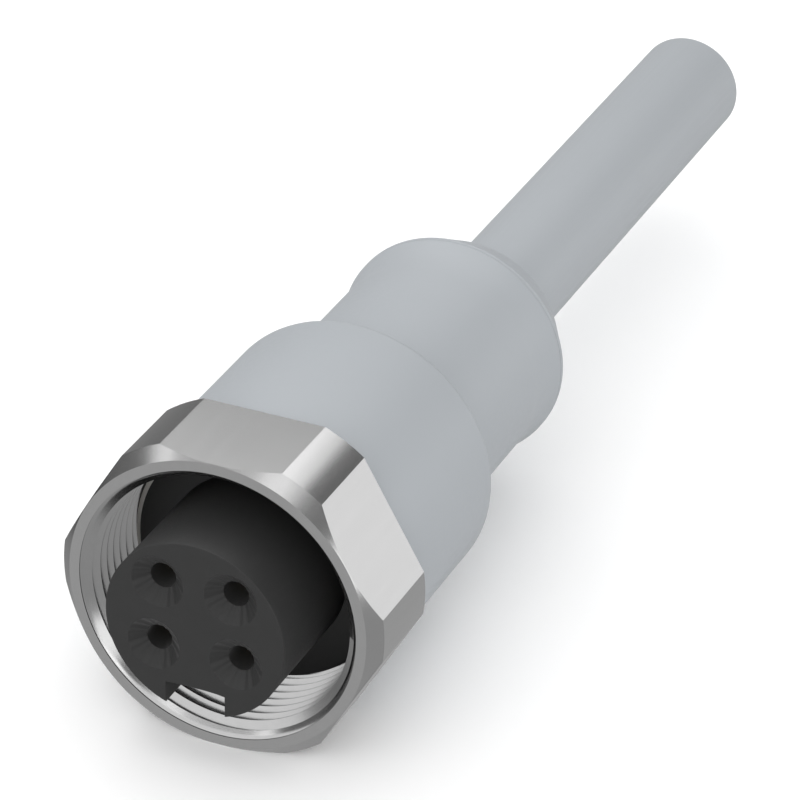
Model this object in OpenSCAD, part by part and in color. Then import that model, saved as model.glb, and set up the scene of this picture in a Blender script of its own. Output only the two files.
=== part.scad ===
// Four-pole female circular connector with a moulded grip and a cable stub.
// Millimetres. +Y runs from the mating face along the cable, +Z is up.
// The origin is the centre of the coupling nut's front face.

/* [Coupling nut] */
// Width across the wrench flats
nut_flats = 24; // [23.2:0.2:25.6]
// Diameter that the six corners are turned down to
nut_corner_d = 26; // [25:0.25:27.5]
// Length of the hexagon
nut_hex_l = 8.25; // [7.5:0.25:9]
// Chamfer on the front corners
nut_chamfer = 1; // [0.6:0.1:1.4]
// Diameter over the crests of the internal thread
thread_crest_d = 20.5; // [20.4:0.1:21]
// Chamfer at the mouth of the thread
mouth_chamfer = 0.95; // [0.6:0.05:1.2]
// Diameter of the hub that runs in the grip
hub_d = 20.8; // [20:0.2:21.2]
// Thickness of the lip that pulls on the carrier
lip_t = 1.5; // [1:0.1:2]

/* [Contact carrier] */
// Diameter of the socket insert
insert_d = 14.4; // [14.2:0.1:15]
// How far the insert stands out in front of the nut
insert_proud = 3.55; // [1:0.25:5]
// Depth of the flange's face behind the nut's front face
flange_depth = 7.1; // [6.4:0.1:7.3]
// Diameter of the flange
flange_d = 20.2; // [19.8:0.1:20.2]
// Thickness of the flange
flange_t = 0.9; // [0.8:0.05:1.2]
// Diameter of the neck that the nut turns on
neck_d = 17.9; // [17:0.1:18.2]
// Diameter of the part held in the moulding
barrel_d = 16; // [15:0.25:16.5]
// Length of the part held in the moulding, behind the neck
barrel_l = 3.4; // [2.6:0.2:5]
// Width of the keyway
keyway_w = 4.8; // [3.6:0.1:5]
// Distance from the axis to the keyway's floor
keyway_floor = 4.9; // [4.6:0.1:5.6]
// Radius of the keyway's slightly crowned floor
keyway_crown_r = 28; // [15:1:60]

/* [Contacts] */
// Sideways distance of the two upper contacts from the axis
upper_x = 2.92; // [2.6:0.05:3.1]
// Height of the two upper contacts above the axis
upper_z = 3.43; // [3:0.05:3.6]
// Sideways distance of the two lower contacts from the axis
lower_x = 3.3; // [2.9:0.05:3.6]
// Distance of the two lower contacts below the axis
lower_z = 1.96; // [1.6:0.05:2.1]
// Diameter of the pin that each contact takes
pin_d = 2; // [1.5:0.1:2.1]
// Wall of the contact around the pin
contact_wall = 0.8; // [0.5:0.05:0.85]
// Depth of the hole for the pin
pin_depth = 8.6; // [7:0.2:9.2]
// Width of the slot between the two spring tines
tine_slot = 0.35; // [0.2:0.05:0.5]
// Length of the slot
tine_slot_l = 6.2; // [4:0.2:6.8]
// Length of the contact from its mouth to its collar
contact_front_l = 11; // [10.4:0.2:11.8]
// Diameter of the collar that seats the contact
collar_d = 4.6; // [4.4:0.1:4.8]
// Length of the collar
collar_l = 1.2; // [0.8:0.1:1.4]
// Diameter of the crimp barrel
crimp_d = 2.7; // [2.4:0.1:2.9]
// Length of the crimp barrel
crimp_l = 7.3; // [6:0.25:7.5]
// Depth of the crimp barrel's hole
crimp_depth = 6.5; // [4:0.25:7]
// Wall of the steel sleeve over the tines
sleeve_t = 0.15; // [0.1:0.05:0.2]
// Length of that sleeve
sleeve_l = 7; // [5:0.25:8]
// Outer diameter of the countersink around each hole
sink_d = 4.2; // [3.4:0.1:4.3]
// Depth of that countersink
sink_depth = 1; // [0.6:0.1:1.1]
// Plastic left in front of the contact, behind the countersink
guide_l = 2.4; // [2:0.1:2.8]

/* [Friction ring] */
// Plastic left in front of the ring's groove
ring_lip_t = 0.2; // [0.15:0.05:0.3]
// Diameter of that thin front lip
ring_lip_d = 19.6; // [19.3:0.1:19.8]
// Thickness of the ring
ring_t = 0.34; // [0.3:0.02:0.4]
// Radial width of the ring
ring_w = 0.75; // [0.65:0.05:0.9]
// Opening of the ring in degrees
ring_opening = 60; // [30:5:90]
// Direction of the opening, in degrees from +X towards +Z
ring_turn = 300; // [0:5:355]

/* [Grip] */
// Diameter of the gripping part
grip_d = 23.1; // [22.8:0.1:23.7]
// Distance from the nut's front face to the shoulder behind the gripping part
shoulder_at = 24.7; // [22:0.5:27]
// Rounding of the grip's front edge
grip_front_round = 0.5; // [0.2:0.1:0.6]
// Rounding of the shoulder
shoulder_round = 1; // [0.4:0.1:1.4]
// Diameter of the waist
waist_d = 18.1; // [17.4:0.1:18.8]
// Fillet between shoulder and waist
waist_fillet = 0.5; // [0.2:0.1:0.8]
// Distance from the nut's front face to where the waist starts to flare
flare_at = 39; // [36:0.5:40]
// Diameter of the rim
rim_d = 19.1; // [18.9:0.1:20]
// Distance from the nut's front face to the rim
rim_at = 42.7; // [42:0.1:43.5]
// Length of the rim
rim_l = 0.6; // [0.3:0.1:1]
// Diameter of the grip's rear face
tail_d = 15.6; // [14.5:0.1:16.5]
// Distance from the nut's front face to the grip's rear face
grip_end = 46.8; // [45:0.2:49]

/* [Inner moulding] */
// Diameter of the hard moulding around the crimped ends
core_d = 14.8; // [14:0.2:15.4]
// Distance from the nut's front face to where it starts to taper
core_taper_at = 28; // [26:0.5:31]
// Diameter of its rear end
core_tail_d = 11.4; // [10.8:0.2:12.4]
// Length of cable jacket held inside it
jacket_grip = 4; // [3:0.5:5]

/* [Cable] */
// Diameter of the cable
cable_d = 9.26; // [9:0.1:10]
// Length of cable that stands out behind the grip
cable_free_l = 49.7; // [20:1:120]
// Wall of the cable's jacket
jacket_t = 0.95; // [0.8:0.05:1.1]
// Diameter of one insulated wire
wire_d = 2.6; // [2.2:0.05:2.65]
// Diameter of its copper conductor
copper_d = 1.4; // [1.2:0.1:1.7]
// Distance of each wire's centre from the cable's axis
wire_ring_r = 1.9; // [1.9:0.05:2.1]
// Copper left bare between the crimp barrel and the insulation
bare_l = 0.6; // [0.3:0.1:1]

/* [Clearances] */
// Radial running gap of the nut on the neck, and of the ring in the nut
running_gap = 0.05; // [0.02:0.01:0.1]
// Free play between nut and grip
nut_gap = 0.3; // [0.2:0.05:0.4]
// Axial play of the nut's lip behind the flange
lip_gap = 0.1; // [0.05:0.05:0.2]
// Fit of pieces that are pushed or moulded into each other
seat_gap = 0.02; // [0.01:0.01:0.05]
// Radial room around the contacts in the carrier
chamber_gap = 0.05; // [0.03:0.01:0.1]

/* [Hidden] */
$fn = 96;
// How far cutters run past what they cut
over = 1;
// Steps along a small rounding
round_steps = 6;

// Coupling nut
thread_r = thread_crest_d / 2;
corner_r = nut_corner_d / 2;
flange_back = flange_depth + flange_t;
lip_front = flange_back + lip_gap;
nut_end = lip_front + lip_t;
lip_r = neck_d / 2 + running_gap;

// Grip, where it meets the nut, and the length of neck that it holds
grip_front = nut_hex_l + nut_gap;
pocket_floor = nut_end + nut_gap;
neck_hold = 0.8;
neck_end = pocket_floor + neck_hold;

// Carrier: its barrel has a groove over the middle third, where the grip anchors
barrel_end = neck_end + barrel_l;
anchor_w = barrel_l / 3;
anchor_depth = 0.6;
rear_start = flange_back - flange_t / 2;

// Contacts: 1 and 2 above, 3 and 4 below, left before right
SEATS = [[-upper_x, upper_z], [upper_x, upper_z], [-lower_x, -lower_z], [lower_x, -lower_z]];
insert_front = -insert_proud;
contact_front = insert_front + sink_depth + guide_l;
contact_r = pin_d / 2 + contact_wall;
sleeve_r = contact_r + seat_gap + sleeve_t;
chamber_r = sleeve_r + chamber_gap;
collar_front = contact_front + contact_front_l;
collar_back = collar_front + collar_l;
crimp_end = collar_back + crimp_l;
crimp_floor = crimp_end - crimp_depth;
counterbore_r = collar_d / 2 + chamber_gap;
guide_r = pin_d / 2 + seat_gap;
mouth_bevel = contact_wall / 2;

// Friction ring
ring_front = flange_depth + ring_lip_t + seat_gap;
ring_back = ring_front + ring_t;
ring_r = thread_r - running_gap;
ring_inner_r = ring_r - ring_w;

// Cable
wire_ring_xz = wire_ring_r / sqrt(2);
WIRE_SPOTS = [for (s = SEATS) [sign(s[0]) * wire_ring_xz, sign(s[1]) * wire_ring_xz]];
WIRE_COLOURS = ["saddlebrown", "white", "royalblue", "black"];
insulation_front = crimp_end + bare_l;
core_taper_l = 7;
core_end = core_taper_at + core_taper_l;
bend_from = insulation_front + wire_d;
jacket_front = core_end - jacket_grip;
bend_to = jacket_front - wire_d;
cable_end = grip_end + cable_free_l;
cable_r = cable_d / 2;
filler_r = cable_r - jacket_t;

// Bends of the wires: swell of the rounded bends, and turns that keep the seams apart
bend_swell = 0.06;
bend_roll = 13;
copper_roll = 11;
wire_roll = 37;

// A round bar along +Y
module rod(r, y0, y1, sides = $fn)
    translate([0, y0, 0]) rotate([-90, 0, 0]) cylinder(r = r, h = y1 - y0, $fn = sides);

// A turned shape: points are [radius, distance along +Y]
module turned(points)
    rotate([-90, 0, 0]) rotate_extrude() polygon(points);

// A countersink along +Y, wide end first
module sink(r0, r1, y0, y1)
    turned([[0, y0], [r0, y0], [r1, y1], [0, y1]]);

// Puts a child on the axis of contact i
module at_seat(i)
    translate([SEATS[i][0], 0, SEATS[i][1]]) children();

// Points of an arc in a turned outline
function arc(centre, r, from, to) =
    [for (i = [0:round_steps])
        let (a = from + (to - from) * i / round_steps) centre + r * [cos(a), sin(a)]];

// A round bar between two points in space
module bar(r, from, to) {
    v = to - from;
    l = norm(v);
    translate(from) rotate([0, acos(v[2] / l), atan2(v[1], v[0])]) cylinder(r = r, h = l);
}

// The way that wire i takes from its contact to the cable's end, as a bar with two bends.
// roll turns the seams of the round faces, so that one way inside another shares none.
module wire_way(i, r, y0, y1, roll) {
    seat = SEATS[i];
    spot = WIRE_SPOTS[i];
    bends = [[seat[0], bend_from, seat[1]], [spot[0], bend_to, spot[1]]];
    at_seat(i) rotate([0, roll, 0]) rod(r, y0, bend_from);
    bar(r, bends[0], bends[1]);
    translate([spot[0], 0, spot[1]]) rotate([0, roll, 0]) rod(r, bend_to, y1);
    for (p = bends) translate(p) rotate([90, roll + bend_roll, 0]) sphere(r = r + bend_swell);
}

// Hexagon with turned corners, threaded bore, and the lip that pulls the carrier home
module coupling_nut()
    color("silver") difference() {
        union() {
            intersection() {
                rod(nut_flats / 2 / cos(30), 0, nut_hex_l, 6);
                turned([
                    [0, 0], [corner_r - nut_chamfer, 0], [corner_r, nut_chamfer],
                    [corner_r, nut_hex_l], [0, nut_hex_l]
                ]);
            }
            rod(hub_d / 2, nut_chamfer, nut_end);
        }
        turned([
            [0, -over], [thread_r + mouth_chamfer + over, -over], [thread_r, mouth_chamfer],
            [thread_r, lip_front], [lip_r, lip_front], [lip_r, nut_end + over], [0, nut_end + over]
        ]);
    }

// Outline of the carrier behind its flange, which the grip is moulded around
function carrier_rear() = [
    [0, rear_start], [neck_d / 2, rear_start], [neck_d / 2, neck_end],
    [barrel_d / 2, neck_end], [barrel_d / 2, neck_end + anchor_w],
    [barrel_d / 2 - anchor_depth, neck_end + anchor_w],
    [barrel_d / 2 - anchor_depth, neck_end + 2 * anchor_w],
    [barrel_d / 2, neck_end + 2 * anchor_w], [barrel_d / 2, barrel_end], [0, barrel_end]
];

// Keyway with a slightly crowned floor, along the whole insert
module keyway()
    translate([0, flange_depth, 0]) rotate([90, 0, 0])
        linear_extrude(height = flange_depth + insert_proud + over)
            intersection() {
                translate([-keyway_w / 2, -insert_d]) square([keyway_w, insert_d]);
                translate([0, -keyway_floor - keyway_crown_r]) circle(r = keyway_crown_r);
            }

// Socket insert, flange with the groove of the friction ring, neck and barrel in one moulding
module contact_carrier()
    color("#2b2b2b") difference() {
        union() {
            rod(insert_d / 2, insert_front, flange_back);
            turned([
                [0, flange_depth], [ring_lip_d / 2, flange_depth],
                [ring_lip_d / 2, flange_depth + ring_lip_t],
                [ring_inner_r - seat_gap, flange_depth + ring_lip_t],
                [ring_inner_r - seat_gap, ring_back + seat_gap],
                [flange_d / 2, ring_back + seat_gap], [flange_d / 2, flange_back], [0, flange_back]
            ]);
            turned(carrier_rear());
        }
        keyway();
        for (i = [0:3]) at_seat(i) {
            sink(sink_d / 2 + (sink_d / 2 - guide_r) * over / sink_depth, guide_r,
                insert_front - over, insert_front + sink_depth);
            rod(guide_r, insert_front, contact_front + over);
            rod(chamber_r, contact_front, collar_front + over);
            rod(counterbore_r, collar_front, barrel_end + over);
        }
    }

// Open spring ring that brakes the nut so that it can't shake loose
module friction_ring()
    color("gainsboro") difference() {
        rod(ring_r, ring_front, ring_back);
        rod(ring_inner_r, ring_front - over, ring_back + over);
        rotate([0, -ring_turn, 0]) translate([0, ring_back + over, 0]) rotate([90, 0, 0])
            linear_extrude(height = ring_t + 2 * over)
                polygon([
                    [0, 0], 2 * corner_r * [cos(ring_opening / 2), -sin(ring_opening / 2)],
                    2 * corner_r * [cos(ring_opening / 2), sin(ring_opening / 2)]
                ]);
    }

// Turned socket contact: two tines in front, seating collar, crimp barrel behind
module contact(i)
    color("gold") at_seat(i) difference() {
        turned([
            [0, contact_front], [contact_r - mouth_bevel / 2, contact_front],
            [contact_r, contact_front + mouth_bevel / 2], [contact_r, collar_front],
            [collar_d / 2, collar_front], [collar_d / 2, collar_back],
            [crimp_d / 2, collar_back], [crimp_d / 2, crimp_end], [0, crimp_end]
        ]);
        rod(pin_d / 2, contact_front - over, contact_front + pin_depth);
        sink(pin_d / 2 + mouth_bevel + over, pin_d / 2, contact_front - over, contact_front + mouth_bevel);
        translate([-tine_slot / 2, contact_front - over, -contact_r - over])
            cube([tine_slot, tine_slot_l + over, 2 * (contact_r + over)]);
        rod(copper_d / 2 + seat_gap, crimp_floor, crimp_end + over);
    }

// Thin steel sleeve that keeps the tines closed
module contact_sleeve(i)
    color("lightsteelblue") at_seat(i) difference() {
        rod(sleeve_r, contact_front + seat_gap, contact_front + sleeve_l);
        rod(contact_r + seat_gap, contact_front - over, contact_front + sleeve_l + over);
    }

// Copper conductor from the crimp barrel to the cut end
module conductor(i)
    color("peru") wire_way(i, copper_d / 2, crimp_floor + seat_gap, cable_end, copper_roll);

// Insulation of one wire
module wire_insulation(i)
    color(WIRE_COLOURS[i]) difference() {
        wire_way(i, wire_d / 2, insulation_front, cable_end, wire_roll);
        wire_way(i, copper_d / 2, insulation_front - over, cable_end + over, copper_roll);
    }

// Outline of the hard moulding, which the grip is moulded around
function core_outline() = [
    [0, barrel_end], [core_d / 2, barrel_end], [core_d / 2, core_taper_at],
    [core_tail_d / 2, core_end], [0, core_end]
];

// Hard moulding that fixes the crimped ends and the start of the cable
module inner_moulding()
    color("dimgray") difference() {
        union() {
            turned(core_outline());
            for (i = [0:3]) at_seat(i)
                rod(counterbore_r - seat_gap, collar_back + seat_gap, barrel_end + over);
        }
        for (i = [0:3]) {
            at_seat(i) rod(crimp_d / 2 + seat_gap, collar_back - over, crimp_end + seat_gap);
            at_seat(i) rod(copper_d / 2 + seat_gap, crimp_end - over, bend_from);
            wire_way(i, wire_d / 2 + seat_gap, insulation_front - seat_gap, jacket_front + over, wire_roll);
        }
        rod(cable_r + seat_gap, jacket_front, core_end + over);
    }

// Soft filler that keeps the four wires in place
module cable_filler()
    color("whitesmoke") difference() {
        rod(filler_r - seat_gap, jacket_front + seat_gap, cable_end);
        for (s = WIRE_SPOTS)
            translate([s[0], 0, s[1]]) rod(wire_d / 2 + seat_gap, jacket_front - over, cable_end + over);
    }

// Outer jacket of the cable
module cable_jacket()
    color("#aeb4b8") difference() {
        rod(cable_r, jacket_front + seat_gap, cable_end);
        rod(filler_r, jacket_front - over, cable_end + over);
    }

// Outline of the grip: gripping part, shoulder, waist, flare, rim and tail
function grip_outline() = concat(
    [[0, grip_front]],
    arc([grip_d / 2 - grip_front_round, grip_front + grip_front_round], grip_front_round, -90, 0),
    arc([grip_d / 2 - shoulder_round, shoulder_at - shoulder_round], shoulder_round, 0, 90),
    arc([waist_d / 2 + waist_fillet, shoulder_at + waist_fillet], waist_fillet, -90, -180),
    [for (i = [0:round_steps])
        let (t = i / round_steps)
            [(waist_d + (rim_d - waist_d) * t * t) / 2, flare_at + (rim_at - flare_at) * t]],
    [[rim_d / 2, rim_at + rim_l], [tail_d / 2, grip_end], [0, grip_end]]
);

// Moulded grip over the carrier's barrel, the hard moulding and the cable
module grip()
    color("#aeb4b8") difference() {
        turned(grip_outline());
        rod(hub_d / 2 + nut_gap, grip_front - over, pocket_floor);
        turned(carrier_rear());
        turned(core_outline());
        rod(cable_r, core_end - over, grip_end + over);
    }

coupling_nut();
contact_carrier();
friction_ring();
contact(0);  // contact_1
contact(1);  // contact_2
contact(2);  // contact_3
contact(3);  // contact_4
contact_sleeve(0);  // contact_sleeve_1
contact_sleeve(1);  // contact_sleeve_2
contact_sleeve(2);  // contact_sleeve_3
contact_sleeve(3);  // contact_sleeve_4
conductor(0);  // conductor_1
conductor(1);  // conductor_2
conductor(2);  // conductor_3
conductor(3);  // conductor_4
wire_insulation(0);  // wire_insulation_1
wire_insulation(1);  // wire_insulation_2
wire_insulation(2);  // wire_insulation_3
wire_insulation(3);  // wire_insulation_4
inner_moulding();
cable_filler();
cable_jacket();
grip();
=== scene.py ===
"""Dressed model of a straight female circular power connector on a short grey cable.

The frame is the packed model's own: +Y runs from the mating face along the cable, +Z is up, and
the origin is the centre of the coupling nut's front face. Sizes are in millimetres until a mesh
is finished, where one function scales it to metres.
"""

import logging
import math
from collections.abc import Sequence
from dataclasses import dataclass
from enum import Enum

import bmesh
import bpy
from mathutils import Matrix, Quaternion, Vector


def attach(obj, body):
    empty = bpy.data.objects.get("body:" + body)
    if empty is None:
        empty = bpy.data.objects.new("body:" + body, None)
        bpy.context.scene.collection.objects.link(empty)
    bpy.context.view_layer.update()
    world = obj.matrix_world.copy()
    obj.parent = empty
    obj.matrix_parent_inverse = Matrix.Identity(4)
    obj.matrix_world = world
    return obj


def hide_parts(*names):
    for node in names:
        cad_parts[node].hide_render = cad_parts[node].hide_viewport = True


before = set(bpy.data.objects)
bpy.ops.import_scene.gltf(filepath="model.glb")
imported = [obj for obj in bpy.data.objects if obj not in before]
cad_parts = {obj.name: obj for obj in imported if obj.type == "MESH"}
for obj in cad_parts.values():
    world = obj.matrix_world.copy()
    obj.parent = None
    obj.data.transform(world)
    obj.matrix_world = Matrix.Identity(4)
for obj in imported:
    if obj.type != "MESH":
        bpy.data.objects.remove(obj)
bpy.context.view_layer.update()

LOG = logging.getLogger("connector")
MM = 0.001
TURN = 2 * math.pi
AXIS = Vector((0, 1, 0))
MERGE = 1e-4  # millimetres: corners closer than this are one
OVER = 1.0  # millimetres: how far a cutting tool reaches past the face that it cuts
RING_STEPS = 180  # steps round a turned surface
CURVE_STEPS = 12  # steps along a shallow curve
NOISE_LOW, NOISE_HIGH = 0.3, 0.7  # nearly all of a noise lies between these
CORE_HUES = ("brown", "white", "blue", "black")

Profile = Sequence[tuple[float, float]]


class Body(Enum):
    """Bodies of the packed model that a piece can ride on."""

    CONNECTOR = "connector"
    NUT = "nut"


# ---------------------------------------------------------------- mesh workshop


def arc(centre: tuple[float, float], radius: float, start: float, end: float,
        steps: int = 6) -> list[tuple[float, float]]:
    """Gives the points of an arc in a turned outline.

    Args:
        centre: Radius and depth of the arc's centre.
        radius: Radius of the arc.
        start: First direction in degrees, from the radius axis towards depth.
        end: Last direction in degrees.
        steps: Number of chords.

    Returns:
        The points from start to end.
    """
    points = []
    for i in range(steps + 1):
        a = math.radians(start + (end - start) * i / steps)
        points.append((centre[0] + radius * math.cos(a), centre[1] + radius * math.sin(a)))
    return points


def revolve(profile: Profile, steps: int = RING_STEPS, closed: bool = True) -> bmesh.types.BMesh:
    """Turns an outline once round the Y axis.

    Args:
        profile: Points of the outline as radius and depth, in order.
        steps: Steps in the turn.
        closed: True where the last point joins the first.

    Returns:
        The turned mesh with its doubles merged and its faces outwards.
    """
    bm = bmesh.new()
    verts = [bm.verts.new((r, y, 0)) for r, y in profile]
    pairs = list(zip(verts, verts[1:]))
    if closed:
        pairs.append((verts[-1], verts[0]))
    edges = [bm.edges.new(p) for p in pairs if max(p[0].co.x, p[1].co.x) > MERGE]
    bmesh.ops.spin(bm, geom=verts + edges, cent=(0, 0, 0), axis=AXIS, dvec=(0, 0, 0), angle=TURN,
                   steps=steps, use_merge=True, use_duplicate=False)
    return tidy(bm)


def put_in_order(bm: bmesh.types.BMesh) -> None:
    """Sorts edges and faces by their corners, because spin leaves them in a chance order.

    Args:
        bm: The mesh to work on.
    """
    bm.verts.index_update()
    for parts in (bm.edges, bm.faces):
        for rank, part in enumerate(sorted(parts, key=lambda p: sorted(v.index for v in p.verts))):
            part.index = rank
        parts.sort()


def tidy(bm: bmesh.types.BMesh) -> bmesh.types.BMesh:
    """Merges doubles, drops flat scraps, turns the faces outwards and puts the mesh in order.

    Args:
        bm: The mesh to work on.

    Returns:
        The same mesh.
    """
    put_in_order(bm)
    bmesh.ops.remove_doubles(bm, verts=bm.verts, dist=MERGE)
    bmesh.ops.dissolve_degenerate(bm, edges=bm.edges, dist=MERGE)
    loose = [v for v in bm.verts if not v.link_faces]
    bmesh.ops.delete(bm, geom=loose, context="VERTS")
    bmesh.ops.recalc_face_normals(bm, faces=bm.faces)
    put_in_order(bm)
    return bm


def bar(outline: Profile, start: float, end: float) -> bmesh.types.BMesh:
    """Extrudes an outline in the X-Z plane along Y.

    Args:
        outline: Corners as x and z.
        start: Depth of the first face.
        end: Depth of the last face.

    Returns:
        The closed bar.
    """
    bm = bmesh.new()
    face = bm.faces.new([bm.verts.new((x, start, z)) for x, z in outline])
    grown = bmesh.ops.extrude_face_region(bm, geom=[face], use_keep_orig=True)
    moved = [g for g in grown["geom"] if isinstance(g, bmesh.types.BMVert)]
    bmesh.ops.translate(bm, verts=moved, vec=(0, end - start, 0))
    return tidy(bm)


def round_edges(bm: bmesh.types.BMesh, radius: float, sharp: float) -> bmesh.types.BMesh:
    """Rounds the sharp edges of a mesh.

    Args:
        bm: The mesh to work on.
        radius: Width of the rounding.
        sharp: Least angle between two faces that is rounded, in degrees.

    Returns:
        The same mesh.
    """
    limit = math.radians(sharp)
    edges = [e for e in bm.edges if len(e.link_faces) == 2 and e.calc_face_angle(0) >= limit]
    bmesh.ops.bevel(bm, geom=edges, offset=radius, offset_type="OFFSET", segments=2, profile=0.5,
                    affect="EDGES", material=-1, clamp_overlap=True)
    return tidy(bm)


def cut(body: bmesh.types.BMesh, *tools: bmesh.types.BMesh) -> bmesh.types.BMesh:
    """Takes the tools away from a body and frees them.

    Args:
        body: The closed mesh that is cut.
        tools: Closed meshes that are taken away, one after the other.

    Returns:
        A new mesh of what is left.
    """
    base = bpy.data.objects.new("body", bpy.data.meshes.new("body"))
    body.to_mesh(base.data)
    body.free()
    bpy.context.scene.collection.objects.link(base)
    helpers = []
    for tool in tools:
        helper = bpy.data.objects.new("tool", bpy.data.meshes.new("tool"))
        tool.to_mesh(helper.data)
        tool.free()
        bpy.context.scene.collection.objects.link(helper)
        helpers.append(helper)
        modifier = base.modifiers.new("cut", "BOOLEAN")
        modifier.operation = "DIFFERENCE"
        modifier.solver = "EXACT"
        modifier.object = helper
    graph = bpy.context.evaluated_depsgraph_get()
    result = bmesh.new()
    result.from_mesh(base.evaluated_get(graph).to_mesh())
    for used in [base, *helpers]:
        mesh = used.data
        bpy.data.objects.remove(used)
        bpy.data.meshes.remove(mesh)
    return tidy(result)


def finish_piece(bm: bmesh.types.BMesh, name: str, body: Body, material: bpy.types.Material,
                 replaces: Sequence[str] = (), sharp: float = 22) -> bpy.types.Object:
    """Args:
        bm: The mesh in millimetres, which is freed.
        name: Name of the piece.
        body: Body that it rides on.
        material: Its finish.
        replaces: CAD nodes that it stands for.
        sharp: Edges over this many degrees stay sharp in the shading.

    Returns:
        The object.
    """
    for face in bm.faces:
        face.smooth = True
    limit = math.radians(sharp)
    for edge in bm.edges:
        edge.smooth = len(edge.link_faces) == 2 and edge.calc_face_angle(0) < limit
    bmesh.ops.scale(bm, vec=(MM, MM, MM), verts=bm.verts)
    mesh = bpy.data.meshes.new(name)
    bm.to_mesh(mesh)
    bm.free()
    mesh.materials.append(material)
    obj = bpy.data.objects.new(name, mesh)
    bpy.context.scene.collection.objects.link(obj)
    if replaces:
        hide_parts(*replaces)
    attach(obj, body.value)
    LOG.info("%s: %d faces on %s", name, len(mesh.polygons), body.value)
    return obj


# ---------------------------------------------------------------- finishes


def linear(colour: str) -> tuple[float, float, float, float]:
    """Turns an sRGB colour into a linear one.

    Args:
        colour: Hex colour such as "#aeb4b8".

    Returns:
        Linear red, green and blue, and an alpha of one.
    """
    parts = [int(colour[i:i + 2], 16) / 255 for i in (1, 3, 5)]
    parts = [c / 12.92 if c <= 0.04045 else ((c + 0.055) / 1.055) ** 2.4 for c in parts]
    return (parts[0], parts[1], parts[2], 1.0)


def add(tree: bpy.types.NodeTree, kind: str, links: dict[str, bpy.types.NodeSocket] | None = None,
        values: dict[str, object] | None = None, **settings: object) -> bpy.types.Node:
    """Adds a node with its settings, values and links.

    Args:
        tree: Node tree that it goes into.
        kind: Type of the node, without the ShaderNode prefix.
        links: Output sockets to join to its inputs, by input name or number.
        values: Constants for its inputs, by input name or number.
        settings: Properties of the node.

    Returns:
        The node.
    """
    node = tree.nodes.new("ShaderNode" + kind)
    for key, value in settings.items():
        setattr(node, key, value)
    for key, value in (values or {}).items():
        node.inputs[key].default_value = value
    for key, socket in (links or {}).items():
        tree.links.new(socket, node.inputs[key])
    return node


@dataclass(frozen=True)
class Finish:
    """A finish with a plain colour, a fine mottle in colour and roughness, and a fine relief.

    Attributes:
        name: What the real material is.
        colour: sRGB hex colour.
        second: sRGB hex colour that the mottle leans towards.
        metallic: 1 for metal.
        roughness: Middle roughness.
        roughness_swing: How far it changes each way, with the grain of the relief.
        grain: Size of the mottle along X, Y and Z in millimetres.
        relief_grain: Size of the relief along X, Y and Z in millimetres.
        relief: Height of the relief in millimetres.
        gloss: Strength of the clear sheen, 0.5 for a smooth surface.
    """

    name: str
    colour: str
    second: str
    metallic: float = 0.0
    roughness: float = 0.5
    roughness_swing: float = 0.05
    grain: tuple[float, float, float] = (2.0, 2.0, 2.0)
    relief_grain: tuple[float, float, float] = (0.3, 0.3, 0.3)
    relief: float = 0.004
    gloss: float = 0.5

    def noise(self, tree: bpy.types.NodeTree, place: bpy.types.NodeSocket,
              grain: tuple[float, float, float], detail: float = 2.0) -> bpy.types.NodeSocket:
        """Adds a noise.

        Args:
            tree: Node tree that it goes into.
            place: Coordinates that it reads.
            grain: Size of its grain along X, Y and Z in millimetres.
            detail: How many finer layers it has.

        Returns:
            The noise as a number from 0 to 1.
        """
        scale = [1 / (g * MM) for g in grain]
        mapping = add(tree, "Mapping", {"Vector": place}, {"Scale": scale})
        return add(tree, "TexNoise", {"Vector": mapping.outputs["Vector"]},
                   {"Scale": 1.0, "Detail": detail, "Roughness": 0.5}).outputs["Fac"]

    def build(self) -> bpy.types.Material:
        """Makes the node material.

        Returns:
            The material, named for what it is.
        """
        material = bpy.data.materials.new(self.name)
        material.use_nodes = True
        tree = material.node_tree
        tree.nodes.clear()
        place = add(tree, "TexCoord").outputs["Object"]
        mottle = self.noise(tree, place, self.grain)
        colour = add(tree, "Mix", {0: mottle}, {6: linear(self.colour), 7: linear(self.second)},
                     data_type="RGBA").outputs[2]
        rough = add(tree, "MapRange", {"Value": self.noise(tree, place, self.relief_grain)},
                    {"From Min": NOISE_LOW, "From Max": NOISE_HIGH,
                     "To Min": self.roughness - self.roughness_swing,
                     "To Max": self.roughness + self.roughness_swing}).outputs["Result"]
        bump = add(tree, "Bump", {"Height": self.noise(tree, place, self.relief_grain, 3.0)},
                   {"Strength": 1.0, "Distance": self.relief * MM}).outputs["Normal"]
        shader = add(tree, "BsdfPrincipled", {"Base Color": colour, "Roughness": rough, "Normal": bump},
                     {"Metallic": self.metallic, "Specular IOR Level": self.gloss})
        add(tree, "OutputMaterial", {"Surface": shader.outputs["BSDF"]})
        return material


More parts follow.
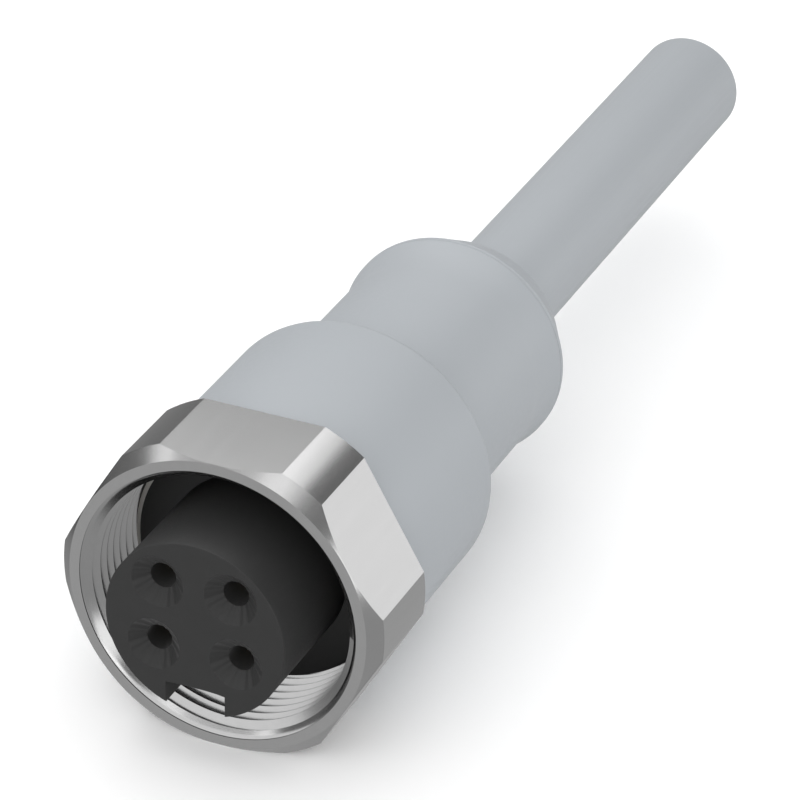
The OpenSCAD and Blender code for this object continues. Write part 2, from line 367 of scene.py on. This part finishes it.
@dataclass(frozen=True)
class TurnedNickel(Finish):
    """Turned metal: fine rings round the Y axis over the finish's own lay.

    Attributes:
        ring_pitch: Spacing of the turning marks in millimetres, coarser than real so that they show.
        ring_height: Height of the turning marks in millimetres.
    """

    ring_pitch: float = 0.25
    ring_height: float = 0.00001

    def build(self) -> bpy.types.Material:
        """Makes the node material.

        Returns:
            The material, named for what it is.
        """
        material = super().build()
        tree = material.node_tree
        place = next(n for n in tree.nodes if n.type == "TEX_COORD").outputs["Object"]
        bump = next(n for n in tree.nodes if n.type == "BUMP")
        shader = next(n for n in tree.nodes if n.type == "BSDF_PRINCIPLED")
        split = add(tree, "SeparateXYZ", {"Vector": place})
        flat = add(tree, "CombineXYZ", {"X": split.outputs["X"], "Z": split.outputs["Z"]})
        radius = add(tree, "VectorMath", {0: flat.outputs["Vector"]}, operation="LENGTH").outputs["Value"]
        travel = add(tree, "Math", {0: radius, 1: split.outputs["Y"]}, operation="ADD").outputs["Value"]
        line = add(tree, "CombineXYZ", {"X": travel}).outputs["Vector"]
        rings = self.noise(tree, line, (self.ring_pitch,) * 3, 2.0)
        turned = add(tree, "Bump", {"Height": rings, "Normal": bump.outputs["Normal"]},
                     {"Strength": 1.0, "Distance": self.ring_height * MM}).outputs["Normal"]
        tree.links.new(turned, shader.inputs["Normal"])
        return material


class Finishes:
    """All the finishes of the connector, each built once."""

    # Nickel plating over turned brass: an even grey metal with a satin sheen
    nickel = TurnedNickel("nickel_plated_brass", "#9a9a9a", "#969696", metallic=1.0, roughness=0.22,
                          roughness_swing=0.008, grain=(0.6, 8.0, 0.6), relief_grain=(0.5, 8.0, 0.5),
                          relief=0.00001)
    # Glass-filled black nylon, moulded: nearly black with a dull sheen
    nylon = Finish("black_moulded_nylon", "#2e2e2e", "#2b2b2b", roughness=0.46, roughness_swing=0.05,
                   grain=(1.5, 1.5, 1.5), relief_grain=(0.12, 0.12, 0.12), relief=0.001, gloss=0.15)
    # Polyurethane over-moulding: even cool grey, satin
    over_moulding = Finish("grey_moulded_polyurethane", "#9fa3a7", "#a1a5a9", roughness=0.45,
                           roughness_swing=0.03, grain=(6.0, 12.0, 6.0), relief_grain=(0.4, 0.4, 0.4),
                           relief=0.002, gloss=0.15)
    # Extruded polyurethane jacket: the same grey with faint lines along the cable
    jacket = Finish("grey_extruded_polyurethane", "#9fa3a7", "#a1a5a9", roughness=0.43,
                    roughness_swing=0.03, grain=(0.8, 40.0, 0.8), relief_grain=(0.25, 12.0, 0.25),
                    relief=0.0015, gloss=0.15)
    # Spring steel strip: pale and satin
    spring_steel = Finish("spring_steel", "#d8d6d2", "#cfcdc9", metallic=1.0, roughness=0.45,
                          roughness_swing=0.03, grain=(0.3, 0.3, 0.3), relief_grain=(0.3, 0.3, 0.3),
                          relief=0.00002)
    # Gold-plated brass, turned: warm yellow and smooth
    gold = Finish("gold_plated_brass", "#c9a24a", "#b98f3a", metallic=1.0, roughness=0.22,
                  roughness_swing=0.05, grain=(0.5, 0.5, 0.5), relief_grain=(0.2, 0.05, 0.2), relief=0.0006)
    # Drawn copper wire, slightly dulled by air
    copper = Finish("drawn_copper", "#d49a78", "#c28560", metallic=1.0, roughness=0.3,
                    roughness_swing=0.08, grain=(0.2, 2.0, 0.2), relief_grain=(0.08, 2.0, 0.08),
                    relief=0.0006)
    # Extruded PVC insulation in the four core colours: smooth and slightly waxy
    brown = Finish("brown_pvc", "#5a3a24", "#503320", roughness=0.45)
    white = Finish("white_pvc", "#dcdad4", "#d2d0ca", roughness=0.45)
    blue = Finish("blue_pvc", "#26549a", "#214b8c", roughness=0.45)
    black = Finish("black_pvc", "#1d1d1e", "#232324", roughness=0.45)
    # Hard inner moulding, never seen: dark and dull
    inner = Finish("dark_polypropylene", "#3c3c3e", "#343436", roughness=0.6)
    # Cotton yarn that fills the room between the cores: chalky white and fibrous
    filler = Finish("white_cotton_yarn", "#cfcec8", "#c2c0b9", roughness=0.7,
                    relief_grain=(0.15, 0.6, 0.15), relief=0.01)

    def __init__(self) -> None:
        """Builds every finish."""
        kinds = {key: kind for key, kind in vars(Finishes).items() if isinstance(kind, Finish)}
        self.made = {key: kind.build() for key, kind in kinds.items()}

    def __getitem__(self, key: str) -> bpy.types.Material:
        """Gives the material of a finish by its short name."""
        return self.made[key]


# ---------------------------------------------------------------- sub-assemblies


@dataclass
class CouplingNut:
    """Hexagonal coupling nut with a helical internal thread. Sizes are in millimetres."""

    flat: float = 12.05  # from the axis to a flat
    corner: float = 13.0  # radius of the turned corners
    face_r: float = 12.02
    chamfer: float = 1.0
    hex_end: float = 8.25
    hub_r: float = 10.4
    end: float = 9.6
    lip_r: float = 9.0
    lip_front: float = 8.1
    crest_r: float = 10.25
    root_r: float = 11.0
    root_flat: float = 0.1
    flank: float = 30.0  # degrees between a flank and a plane across the axis
    pitch: float = 1.017
    turns: int = 10
    turns_before: int = 2  # turns that stand in front of the depth at the phase
    groove_over: float = 0.12  # how far the groove's tool stands inside the crests
    mouth_r: float = 11.2
    mouth_wall: float = 0.1
    lead_round: float = 1.4
    lead_from: float = 32.0  # slope of the lead-in at the mouth, in degrees
    lead_to: float = 47.0  # slope of the lead-in at the crests, in degrees
    thread_phase: float = 187.0  # direction, in degrees, at which the groove has the depth below
    thread_depth_at_phase: float = 1.05

    def blank(self) -> bmesh.types.BMesh:
        """Turns the nut and mills its six flats.

        Returns:
            The nut with a plain bore and its lead-in.
        """
        first = math.radians(self.lead_from)
        centre = (self.mouth_r + self.lead_round * math.sin(first),
                  self.mouth_wall + self.lead_round * math.cos(first))
        lead = arc(centre, self.lead_round, 270 - self.lead_to, 270 - self.lead_from, 8)
        lead_end = lead[0][1] + (lead[0][0] - self.crest_r) * math.tan(math.radians(self.lead_to))
        bm = revolve([
            (self.mouth_r, 0), (self.face_r, 0), (self.corner, self.chamfer),
            (self.corner, self.hex_end), (self.hub_r, self.hex_end), (self.hub_r, self.end),
            (self.lip_r, self.end), (self.lip_r, self.lip_front), (self.crest_r, self.lip_front),
            (self.crest_r, lead_end), *lead], steps=2 * RING_STEPS)
        for i in range(6):
            a = math.radians(30 + 60 * i)
            out = Vector((math.cos(a), 0, math.sin(a)))
            everything = bm.verts[:] + bm.edges[:] + bm.faces[:]
            sliced = bmesh.ops.bisect_plane(bm, geom=everything, dist=MERGE / 10, plane_co=out * self.flat,
                                            plane_no=out, clear_outer=True)
            rim = [g for g in sliced["geom_cut"] if isinstance(g, bmesh.types.BMEdge)]
            bmesh.ops.holes_fill(bm, edges=rim, sides=0)
        return tidy(bm)

    def thread_tool(self) -> bmesh.types.BMesh:
        """Sweeps the groove of the thread as a closed coil.

        Returns:
            The coil at its place.
        """
        bm = bmesh.new()
        inner_r = self.crest_r - self.groove_over
        half_root = self.root_flat / 2
        half_in = half_root + (self.root_r - self.crest_r) * math.tan(math.radians(self.flank))
        start = self.thread_depth_at_phase - self.pitch * self.turns_before
        points = [(inner_r, start - half_in), (self.crest_r, start - half_in),
                  (self.root_r, start - half_root), (self.root_r, start + half_root),
                  (self.crest_r, start + half_in), (inner_r, start + half_in)]
        face = bm.faces.new([bm.verts.new((r, y, 0)) for r, y in points])
        bmesh.ops.spin(bm, geom=[face], cent=(0, 0, 0), axis=AXIS, angle=TURN * self.turns,
                       steps=RING_STEPS * self.turns, dvec=(0, self.pitch / RING_STEPS, 0),
                       use_merge=False, use_duplicate=False)
        bmesh.ops.rotate(bm, verts=bm.verts, cent=(0, 0, 0),
                         matrix=Matrix.Rotation(-math.radians(self.thread_phase), 3, "Y"))
        return tidy(bm)

    def build(self, finishes: Finishes) -> None:
        """Builds the nut as one piece."""
        bm = cut(self.blank(), self.thread_tool())
        finish_piece(bm, "threaded_nut", Body.NUT, finishes["nickel"], ["coupling_nut"])


@dataclass
class Carrier:
    """Black contact carrier with its insert, keyway, flange and barrel. Sizes are in millimetres."""

    insert_r: float = 7.2
    front: float = -3.55
    edge: float = 0.1
    flange_front: float = 7.1
    flange_r: float = 10.1
    flange_end: float = 8.0
    lip_r: float = 9.8
    lip_end: float = 7.3
    groove_r: float = 9.43
    groove_end: float = 7.68
    neck_r: float = 8.95
    neck_end: float = 10.7
    barrel_r: float = 8.0
    barrel_end: float = 14.1
    key_half: float = 2.4
    key_floor: float = 4.9
    key_crown: float = 28.0
    sink_r: float = 2.1
    sink_depth: float = 1.0
    sink_plain: float = 0.12  # depth of the ring under the flutes that stays round
    guide_r: float = 1.02
    guide_end: float = -0.15
    chamber_r: float = 2.02
    collar_front: float = 10.85
    collar_r: float = 2.35
    flutes: int = 15
    flute_steps: int = 8
    flute_depth: float = 0.07
    seats: tuple[tuple[float, float], ...] = ((-2.92, 3.43), (2.92, 3.43), (-3.3, -1.96), (3.3, -1.96))

    def blank(self) -> bmesh.types.BMesh:
        """Turns the carrier's outside."""
        return revolve([
            (0, self.front),
            *arc((self.insert_r - self.edge, self.front + self.edge), self.edge, -90, 0, 3),
            (self.insert_r, self.flange_front), (self.lip_r, self.flange_front),
            (self.lip_r, self.lip_end), (self.groove_r, self.lip_end),
            (self.groove_r, self.groove_end), (self.flange_r, self.groove_end),
            (self.flange_r, self.flange_end), (self.neck_r, self.flange_end),
            (self.neck_r, self.neck_end), (self.barrel_r, self.neck_end),
            (self.barrel_r, self.barrel_end), (0, self.barrel_end)], closed=False)

    def keyway(self) -> bmesh.types.BMesh:
        """Makes the tool of the keyway, with a slightly crowned floor.

        Returns:
            The bar that is cut away.
        """
        floor = []
        for i in range(CURVE_STEPS + 1):
            x = self.key_half * (2 * i / CURVE_STEPS - 1)
            drop = math.sqrt(self.key_crown ** 2 - x ** 2) - self.key_crown
            floor.append((x, -self.key_floor + drop))
        outline = [*floor, (self.key_half, -self.insert_r - OVER), (-self.key_half, -self.insert_r - OVER)]
        return bar(outline, self.front - OVER, self.flange_front)

    def seat_tool(self, x: float, z: float) -> bmesh.types.BMesh:
        """Turns the tool of one contact seat: fluted countersink, guide hole, chamber and counterbore.

        Args:
            x: Sideways place of the seat.
            z: Height of the seat.

        Returns:
            The tool at its place.
        """
        slope = (self.sink_r - self.guide_r) / self.sink_depth
        sink_end = self.front + self.sink_depth
        bm = revolve([
            (0, self.front - OVER), (self.sink_r + OVER * slope, self.front - OVER),
            (self.sink_r, self.front),
            (self.guide_r + self.sink_plain * slope, sink_end - self.sink_plain), (self.guide_r, sink_end),
            (self.guide_r, self.guide_end), (self.chamber_r, self.guide_end),
            (self.chamber_r, self.collar_front), (self.collar_r, self.collar_front),
            (self.collar_r, self.barrel_end + OVER), (0, self.barrel_end + OVER)],
            steps=self.flutes * self.flute_steps, closed=False)
        for vert in bm.verts:
            if self.front + MERGE < vert.co.y < sink_end - MERGE:
                wave = math.cos(self.flutes * math.atan2(vert.co.z, vert.co.x))
                factor = 1 + self.flute_depth * wave / math.hypot(vert.co.x, vert.co.z)
                vert.co.x *= factor
                vert.co.z *= factor
        bmesh.ops.translate(bm, verts=bm.verts, vec=(x, 0, z))
        return bm

    def build(self, finishes: Finishes) -> None:
        """Builds the carrier as one piece.

        Args:
            finishes: The built finishes.
        """
        bm = cut(self.blank(), self.keyway(), *[self.seat_tool(x, z) for x, z in self.seats])
        piece = finish_piece(bm, "socket_insert", Body.CONNECTOR, finishes["nylon"],
                             ["contact_carrier"])
        piece.visible_glossy = False  # the nut's bright bore mirrors the studio past it


@dataclass
class Grip:
    """Grey over-moulded grip. Sizes are in millimetres."""

    front: float = 8.55
    front_r: float = 11.55
    front_round: float = 0.5
    shoulder_at: float = 24.7
    shoulder_round: float = 1.0
    waist_r: float = 9.05
    waist_fillet: float = 0.5
    flare_at: float = 39.0
    flare_steps: int = 8
    rim_r: float = 9.55
    rim_at: float = 42.7
    rim_l: float = 0.65
    rim_round: float = 0.12
    groove_l: float = 0.2
    groove_depth: float = 0.09
    tail_r: float = 7.8
    end: float = 46.8
    tail_round: float = 0.3
    pocket_r: float = 10.7
    pocket_floor: float = 9.9
    neck_r: float = 8.95
    neck_end: float = 10.7
    barrel_r: float = 8.0
    barrel_end: float = 14.1
    core_r: float = 7.4
    core_taper_at: float = 28.0
    core_tail_r: float = 5.7
    core_end: float = 35.0
    cable_r: float = 4.63
    ring_steps: int = 240

    def outline(self) -> list[tuple[float, float]]:
        """Gives the turned outline.

        Returns:
            Points as radius and depth, outside first and then the way through.
        """
        flare = []
        for i in range(self.flare_steps + 1):
            t = i / self.flare_steps
            flare.append((self.waist_r + (self.rim_r - self.waist_r) * t * t,
                          self.flare_at + (self.rim_at - self.flare_at) * t))
        return [
            (self.pocket_r, self.front),
            *arc((self.front_r - self.front_round, self.front + self.front_round),
                 self.front_round, -90, 0),
            *arc((self.front_r - self.shoulder_round, self.shoulder_at - self.shoulder_round),
                 self.shoulder_round, 0, 90, 8),
            *arc((self.waist_r + self.waist_fillet, self.shoulder_at + self.waist_fillet),
                 self.waist_fillet, -90, -180),
            *flare,
            (self.rim_r - self.groove_depth, self.rim_at + self.groove_l / 2),
            *arc((self.rim_r - self.rim_round, self.rim_at + self.groove_l + self.rim_round),
                 self.rim_round, -60, 0, 3),
            *arc((self.rim_r - self.rim_round, self.rim_at + self.rim_l - self.rim_round),
                 self.rim_round, 0, 60, 3),
            *arc((self.tail_r - self.tail_round, self.end - self.tail_round), self.tail_round, 20, 90, 5),
            (self.cable_r, self.end), (self.cable_r, self.core_end), (self.core_tail_r, self.core_end),
            (self.core_r, self.core_taper_at), (self.core_r, self.barrel_end),
            (self.barrel_r, self.barrel_end), (self.barrel_r, self.neck_end), (self.neck_r, self.neck_end),
            (self.neck_r, self.pocket_floor), (self.pocket_r, self.pocket_floor)]

    def build(self, finishes: Finishes) -> None:
        """Builds the grip as one piece."""
        finish_piece(revolve(self.outline(), steps=self.ring_steps), "moulded_grip", Body.CONNECTOR,
                     finishes["over_moulding"], ["grip"], sharp=35)


@dataclass
class Cable:
    """Cable stub: its jacket, and the strand ends that show at the cut. Sizes are in millimetres."""

    jacket_r: float = 4.63
    bore_r: float = 3.68
    start: float = 31.02
    end: float = 96.5
    edge: float = 0.08
    core_circle: float = 1.9  # from the cable's axis to a core's
    core_sides: tuple[tuple[int, int], ...] = ((-1, 1), (1, 1), (-1, -1), (1, -1))
    strand_r: float = 0.136
    strand_edge: float = 0.35  # rounding of a strand's end as a share of its radius
    strand_sides: int = 12
    strand_length: float = 0.5
    strand_proud: float = 0.12
    strand_rings: tuple[tuple[int, float], ...] = ((1, 0.0), (6, 0.28), (12, 0.555))

    def sheath(self) -> bmesh.types.BMesh:
        """Turns the jacket."""
        return revolve([
            (self.jacket_r, self.start),
            *arc((self.jacket_r - self.edge, self.end - self.edge), self.edge, 0, 90, 3),
            (self.bore_r, self.end), (self.bore_r, self.start)])

    def strands(self, x: float, z: float) -> bmesh.types.BMesh:
        """Sets the ends of one conductor's strands, just proud of the cut.

        Args:
            x: Sideways place of the core.
            z: Height of the core.

        Returns:
            All the strand ends of that core.
        """
        bm = bmesh.new()
        lie = Matrix.Rotation(math.radians(-90), 4, "X")
        middle = self.end + self.strand_proud - self.strand_length / 2
        for count, ring in self.strand_rings:
            for i in range(count):
                a = TURN * i / count
                place = Matrix.Translation((x + ring * math.cos(a), middle, z + ring * math.sin(a))) @ lie
                bmesh.ops.create_cone(bm, cap_ends=True, segments=self.strand_sides,
                                      radius1=self.strand_r, radius2=self.strand_r,
                                      depth=self.strand_length, matrix=place)
        return round_edges(bm, self.strand_r * self.strand_edge, sharp=60)

    def build(self, finishes: Finishes) -> None:
        """Builds the jacket and the ends of the strands.

        Args:
            finishes: The built finishes.
        """
        finish_piece(self.sheath(), "cable_sheath", Body.CONNECTOR, finishes["jacket"],
                     ["cable_jacket"], sharp=50)
        offset = self.core_circle / math.sqrt(2)
        for i, (x, z) in enumerate(self.core_sides, 1):
            finish_piece(self.strands(x * offset, z * offset), f"strand_ends_{i}", Body.CONNECTOR,
                         finishes["copper"])


def dress_inner_nodes(finishes: Finishes) -> None:
    """Gives every CAD node that stays its finish.

    Args:
        finishes: The built finishes.
    """
    wanted = {"friction_ring": "spring_steel", "inner_moulding": "inner", "cable_filler": "filler"}
    for i, hue in enumerate(CORE_HUES, 1):
        wanted[f"contact_{i}"] = "gold"
        wanted[f"contact_sleeve_{i}"] = "spring_steel"
        wanted[f"conductor_{i}"] = "copper"
        wanted[f"wire_insulation_{i}"] = hue
    for node, key in wanted.items():
        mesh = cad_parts[node].data
        mesh.materials.clear()
        mesh.materials.append(finishes[key])
        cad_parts[node].visible_glossy = not node.startswith("contact")
        LOG.info("%s: dressed in %s", node, key)


# ---------------------------------------------------------------- studio


@dataclass(frozen=True)
class SoftBox:
    """A square or oblong soft light.

    Attributes:
        name: Name of the light.
        place: Where its middle stands, in millimetres.
        size: Its width and height in millimetres.
        radiance: Its brightness as seen by the object.
        back: Direction of its back, or None to aim it at the object.
        top: Direction that its height follows as far as it can.
        on_matt: True where it lights matt surfaces.
        on_gloss: True where glossy surfaces mirror it.
    """

    name: str
    place: tuple[float, float, float]
    size: tuple[float, float]
    radiance: float
    back: tuple[float, float, float] | None = None
    top: tuple[float, float, float] = (0.0, 0.0, 1.0)
    on_matt: bool = True
    on_gloss: bool = True

    def build(self, target: Vector) -> None:
        """Makes the light.

        Args:
            target: Point that it is aimed at, in millimetres, unless its back is set.
        """
        place = Vector(self.place)
        back = (Vector(self.back) if self.back else place - target).normalized()
        side = Vector(self.top).cross(back).normalized()
        axes = Matrix((side, back.cross(side), back)).transposed()
        lamp = bpy.data.lights.new(self.name, "AREA")
        lamp.shape = "RECTANGLE"
        lamp.size, lamp.size_y = self.size[0] * MM, self.size[1] * MM
        # an area light of radiance L emits pi * L * area watts
        lamp.energy = self.radiance * math.pi * lamp.size * lamp.size_y
        obj = bpy.data.objects.new(self.name, lamp)
        obj.rotation_mode = "QUATERNION"
        obj.rotation_quaternion = axes.to_quaternion()
        obj.location = place * MM
        obj.visible_diffuse, obj.visible_glossy = self.on_matt, self.on_gloss
        bpy.context.scene.collection.objects.link(obj)


@dataclass
class Studio:
    """Pale floor, soft lights and the camera. Sizes are in millimetres, angles in degrees.

    Attributes:
        ambient: Even light of the surround on matt surfaces.
        mirrored_sky: Brightness of the sky in a mirror.
        mirrored_ground: Brightness of the ground in a mirror, before slope and twist.
        mirrored_slope: How the mirrored ground grows brighter along X, Y and Z.
        mirrored_twist: How it grows with X times Y.
        horizon: Heights of a direction between which the ground turns into sky.
        dark_side: X of a direction at which the ground is darkest, and where it is full again.
        dark_share: Share of the ground's brightness that is left where it is darkest.
    """

    floor_z: float = -12.0
    floor_size: float = 6000.0
    target: tuple[float, float, float] = (0.0, 10.0, 0.0)
    ambient: float = 1.02
    mirrored_sky: float = 0.3
    mirrored_ground: float = 0.69
    mirrored_slope: tuple[float, float, float] = (0.095, -0.142, 0.0)
    mirrored_twist: float = 0.43
    horizon: tuple[float, float] = (-0.1, 0.05)
    dark_side: tuple[float, float] = (-0.95, -0.84)
    dark_share: float = 0.13
    lights: tuple[SoftBox, ...] = (
        # mirrored by the top flat and the corner beside it, and by the upper right flat
        SoftBox("overhead", (-225, 265, 600), (1050, 1090), 3.1, (0, 0, 1), (0, 1, 0), on_matt=False),
        SoftBox("side", (504, 513, 84), (420, 260), 1.8, on_matt=False),
        # not mirrored: they give the plastics their shape
        SoftBox("front", (100, -600, 620), (900, 700), 1.0, on_gloss=False),
        SoftBox("left", (-700, 500, 450), (900, 700), 0.8, on_gloss=False),
        # mirrored by the front chamfer and inside the mouth
        SoftBox("right_mirrored", (520, -390, 105), (660, 290), 2.4, on_matt=False),
        SoftBox("front_mirrored", (-460, -600, 450), (1680, 900), 1.5, (0, -1, 0), on_matt=False),
        # small bright places on the front chamfer
        SoftBox("right_brow_mirrored", (150, -590, 740), (260, 260), 1.2, (0, -1, 0), on_matt=False),
        SoftBox("left_brow_mirrored", (-858, -385, 572), (220, 220), 1.9, on_matt=False),
        # mirrored by the flats when they are seen from the side
        SoftBox("shoulder_mirrored", (470, 0, 540), (320, 320), 1.6, on_matt=False),
    )
    camera_place: tuple[float, float, float] = (119.375, -239.006, 171.187)
    camera_azimuth: float = 23.7155
    camera_elevation: float = 29.9216
    camera_roll: float = 0.8352
    focal: float = 195.947
    sensor: float = 36.0
    clip: tuple[float, float] = (10.0, 20000.0)

    def camera(self) -> None:
        """Makes the camera."""
        data = bpy.data.cameras.new("camera")
        data.lens, data.sensor_width = self.focal, self.sensor
        data.clip_start, data.clip_end = self.clip[0] * MM, self.clip[1] * MM
        obj = bpy.data.objects.new("camera", data)
        azimuth, elevation = math.radians(self.camera_azimuth), math.radians(self.camera_elevation)
        back = Vector((math.sin(azimuth) * math.cos(elevation), -math.cos(azimuth) * math.cos(elevation),
                       math.sin(elevation)))
        obj.rotation_mode = "QUATERNION"
        obj.rotation_quaternion = (-back).to_track_quat("-Z", "Y") @ Quaternion(
            (0, 0, 1), math.radians(self.camera_roll))
        obj.location = Vector(self.camera_place) * MM
        bpy.context.scene.collection.objects.link(obj)
        bpy.context.scene.camera = obj

    def floor(self) -> None:
        """Makes the floor."""
        bm = bmesh.new()
        bmesh.ops.create_grid(bm, x_segments=1, y_segments=1, size=self.floor_size / 2 * MM)
        bmesh.ops.translate(bm, verts=bm.verts, vec=(0, 0, self.floor_z * MM))
        mesh = bpy.data.meshes.new("studio_floor")
        bm.to_mesh(mesh)
        bm.free()
        mesh.materials.append(Finish("painted_floor", "#fcfcfc", "#fbfbfb", roughness=0.9,
                                     grain=(300, 300, 300), relief=0.0).build())
        obj = bpy.data.objects.new("studio_floor", mesh)
        bpy.context.scene.collection.objects.link(obj)
        obj.visible_glossy = False  # what metal mirrors of the ground is the surround's

    def surround(self) -> bpy.types.World:
        """Makes the surround.

        Matt surfaces get an even light. A mirror sees a dim sky over a ground whose brightness leans
        and twists across it, and which is nearly dark in the direction of -X.

        Returns:
            The world.
        """
        world = bpy.data.worlds.new("studio")
        world.use_nodes = True
        tree = world.node_tree
        tree.nodes.clear()
        way = add(tree, "TexCoord").outputs["Generated"]
        split = add(tree, "SeparateXYZ", {"Vector": way})
        lean = add(tree, "VectorMath", {0: way}, {1: self.mirrored_slope},
                   operation="DOT_PRODUCT").outputs["Value"]
        level = add(tree, "Math", {0: lean}, {1: self.mirrored_ground}, operation="ADD").outputs["Value"]
        cross = add(tree, "Math", {0: split.outputs["X"], 1: split.outputs["Y"]},
                    operation="MULTIPLY").outputs["Value"]
        ground = add(tree, "Math", {0: cross, 2: level}, {1: self.mirrored_twist},
                     operation="MULTIPLY_ADD").outputs["Value"]
        height = add(tree, "MapRange", {"Value": split.outputs["Z"]},
                     {"From Min": self.horizon[0], "From Max": self.horizon[1]}).outputs["Result"]
        fade = add(tree, "MapRange", {"Value": split.outputs["X"]},
                   {"From Min": self.dark_side[0], "From Max": self.dark_side[1],
                    "To Min": self.dark_share}).outputs["Result"]
        faded = add(tree, "Math", {0: ground, 1: fade}, operation="MULTIPLY").outputs["Value"]
        mirrored = add(tree, "Mix", {0: height, 2: faded}, {3: self.mirrored_sky}).outputs[0]
        seen = add(tree, "LightPath").outputs["Is Glossy Ray"]
        strength = add(tree, "Mix", {0: seen, 3: mirrored}, {2: self.ambient}).outputs[0]
        shade = add(tree, "Background", {"Strength": strength}, {"Color": (1, 1, 1, 1)})
        add(tree, "OutputWorld", {"Surface": shade.outputs[0]})
        return world

    def build(self) -> None:
        """Makes the camera, floor, lights and surround."""
        scene = bpy.context.scene
        scene.view_settings.view_transform = "Standard"
        self.camera()
        self.floor()
        for light in self.lights:
            light.build(Vector(self.target))
        scene.world = self.surround()
        LOG.info("studio: %d lights", len(self.lights))


def main() -> None:
    """Builds the studio and every piece."""
    logging.basicConfig(level=logging.INFO, format="%(message)s")
    Studio().build()
    finishes = Finishes()
    CouplingNut().build(finishes)
    Carrier().build(finishes)
    Grip().build(finishes)
    Cable().build(finishes)
    dress_inner_nodes(finishes)


if __name__ == "__main__":
    main()
